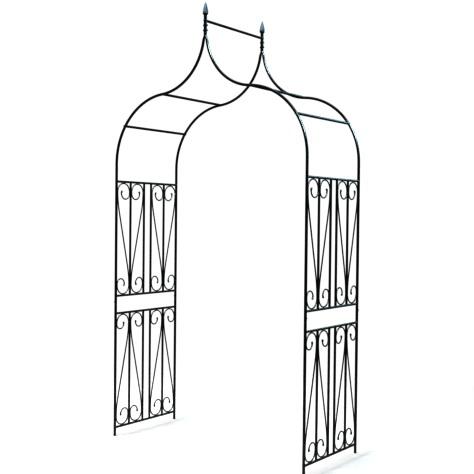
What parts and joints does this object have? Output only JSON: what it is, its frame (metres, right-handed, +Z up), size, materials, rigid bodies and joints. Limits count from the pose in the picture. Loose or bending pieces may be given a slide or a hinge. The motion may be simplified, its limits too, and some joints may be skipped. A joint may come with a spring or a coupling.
{
  "type": "metal trellis arch",
  "caption": "Ogee-topped black metal garden arch with scrollwork side panels, cross rails between two end frames, and spear finials on the peaks.",
  "frame": {"origin": "on the ground under the middle of the arch, at the bottom centre of the bounding box", "axes": "+X across the walkway to the right-hand panel, +Y through the arch from the front frame to the rear frame, +Z up"},
  "size_m": [1.2174, 0.527, 2.26],
  "materials": {
    "black_tube": "gloss black powder coat on round steel tube",
    "black_panel_bar": "gloss black powder coat on solid bar",
    "black_scroll_rod": "gloss black powder coat on bent rod",
    "blue_grey_finial": "blue-grey paint on cast metal",
    "blackened_fasteners": "black oxide steel",
    "plated_inserts": "zinc plated",
    "black_plastic": "moulded, lightly textured"
  },
  "bodies": {
    "root": {"apex_bolts": "blackened_fasteners", "apex_nuts": "blackened_fasteners", "cross_rail_bolts": "blackened_fasteners", "cross_rail_thread_inserts": "plated_inserts", "front_finial": "blue_grey_finial", "front_finial_collar": "black_tube", "front_finial_post": "black_tube", "front_left_arch_rail": "black_tube", "front_left_foot_plug": "black_plastic", "front_left_lower_post": "black_tube", "front_left_upper_post": "black_tube", "front_right_arch_rail": "black_tube", "front_right_foot_plug": "black_plastic", "front_right_lower_post": "black_tube", "front_right_upper_post": "black_tube", "left_lower_panel_bars": "black_panel_bar", "left_lower_panel_bottom_rail": "black_panel_bar", "left_lower_panel_scroll_1": "black_scroll_rod", "left_lower_panel_scroll_2": "black_scroll_rod", "left_lower_panel_scroll_3": "black_scroll_rod", "left_lower_panel_scroll_4": "black_scroll_rod", "left_lower_panel_top_rail": "black_panel_bar", "left_ogee_rail": "black_tube", "left_shoulder_rail": "black_tube", "left_upper_panel_bars": "black_panel_bar", "left_upper_panel_bottom_rail": "black_panel_bar", "left_upper_panel_scroll_1": "black_scroll_rod", "left_upper_panel_scroll_2": "black_scroll_rod", "left_upper_panel_scroll_3": "black_scroll_rod", "left_upper_panel_scroll_4": "black_scroll_rod", "left_upper_panel_top_rail": "black_panel_bar", "post_joint_screws": "blackened_fasteners", "rear_finial": "blue_grey_finial", "rear_finial_collar": "black_tube", "rear_finial_post": "black_tube", "rear_left_arch_rail": "black_tube", "rear_left_foot_plug": "black_plastic", "rear_left_lower_post": "black_tube", "rear_left_upper_post": "black_tube", "rear_right_arch_rail": "black_tube", "rear_right_foot_plug": "black_plastic", "rear_right_lower_post": "black_tube", "rear_right_upper_post": "black_tube", "ridge_rail": "black_tube", "right_lower_panel_bars": "black_panel_bar", "right_lower_panel_bottom_rail": "black_panel_bar", "right_lower_panel_scroll_1": "black_scroll_rod", "right_lower_panel_scroll_2": "black_scroll_rod", "right_lower_panel_scroll_3": "black_scroll_rod", "right_lower_panel_scroll_4": "black_scroll_rod", "right_lower_panel_top_rail": "black_panel_bar", "right_ogee_rail": "black_tube", "right_shoulder_rail": "black_tube", "right_upper_panel_bars": "black_panel_bar", "right_upper_panel_bottom_rail": "black_panel_bar", "right_upper_panel_scroll_1": "black_scroll_rod", "right_upper_panel_scroll_2": "black_scroll_rod", "right_upper_panel_scroll_3": "black_scroll_rod", "right_upper_panel_scroll_4": "black_scroll_rod", "right_upper_panel_top_rail": "black_panel_bar"}
  },
  "joints": []
}
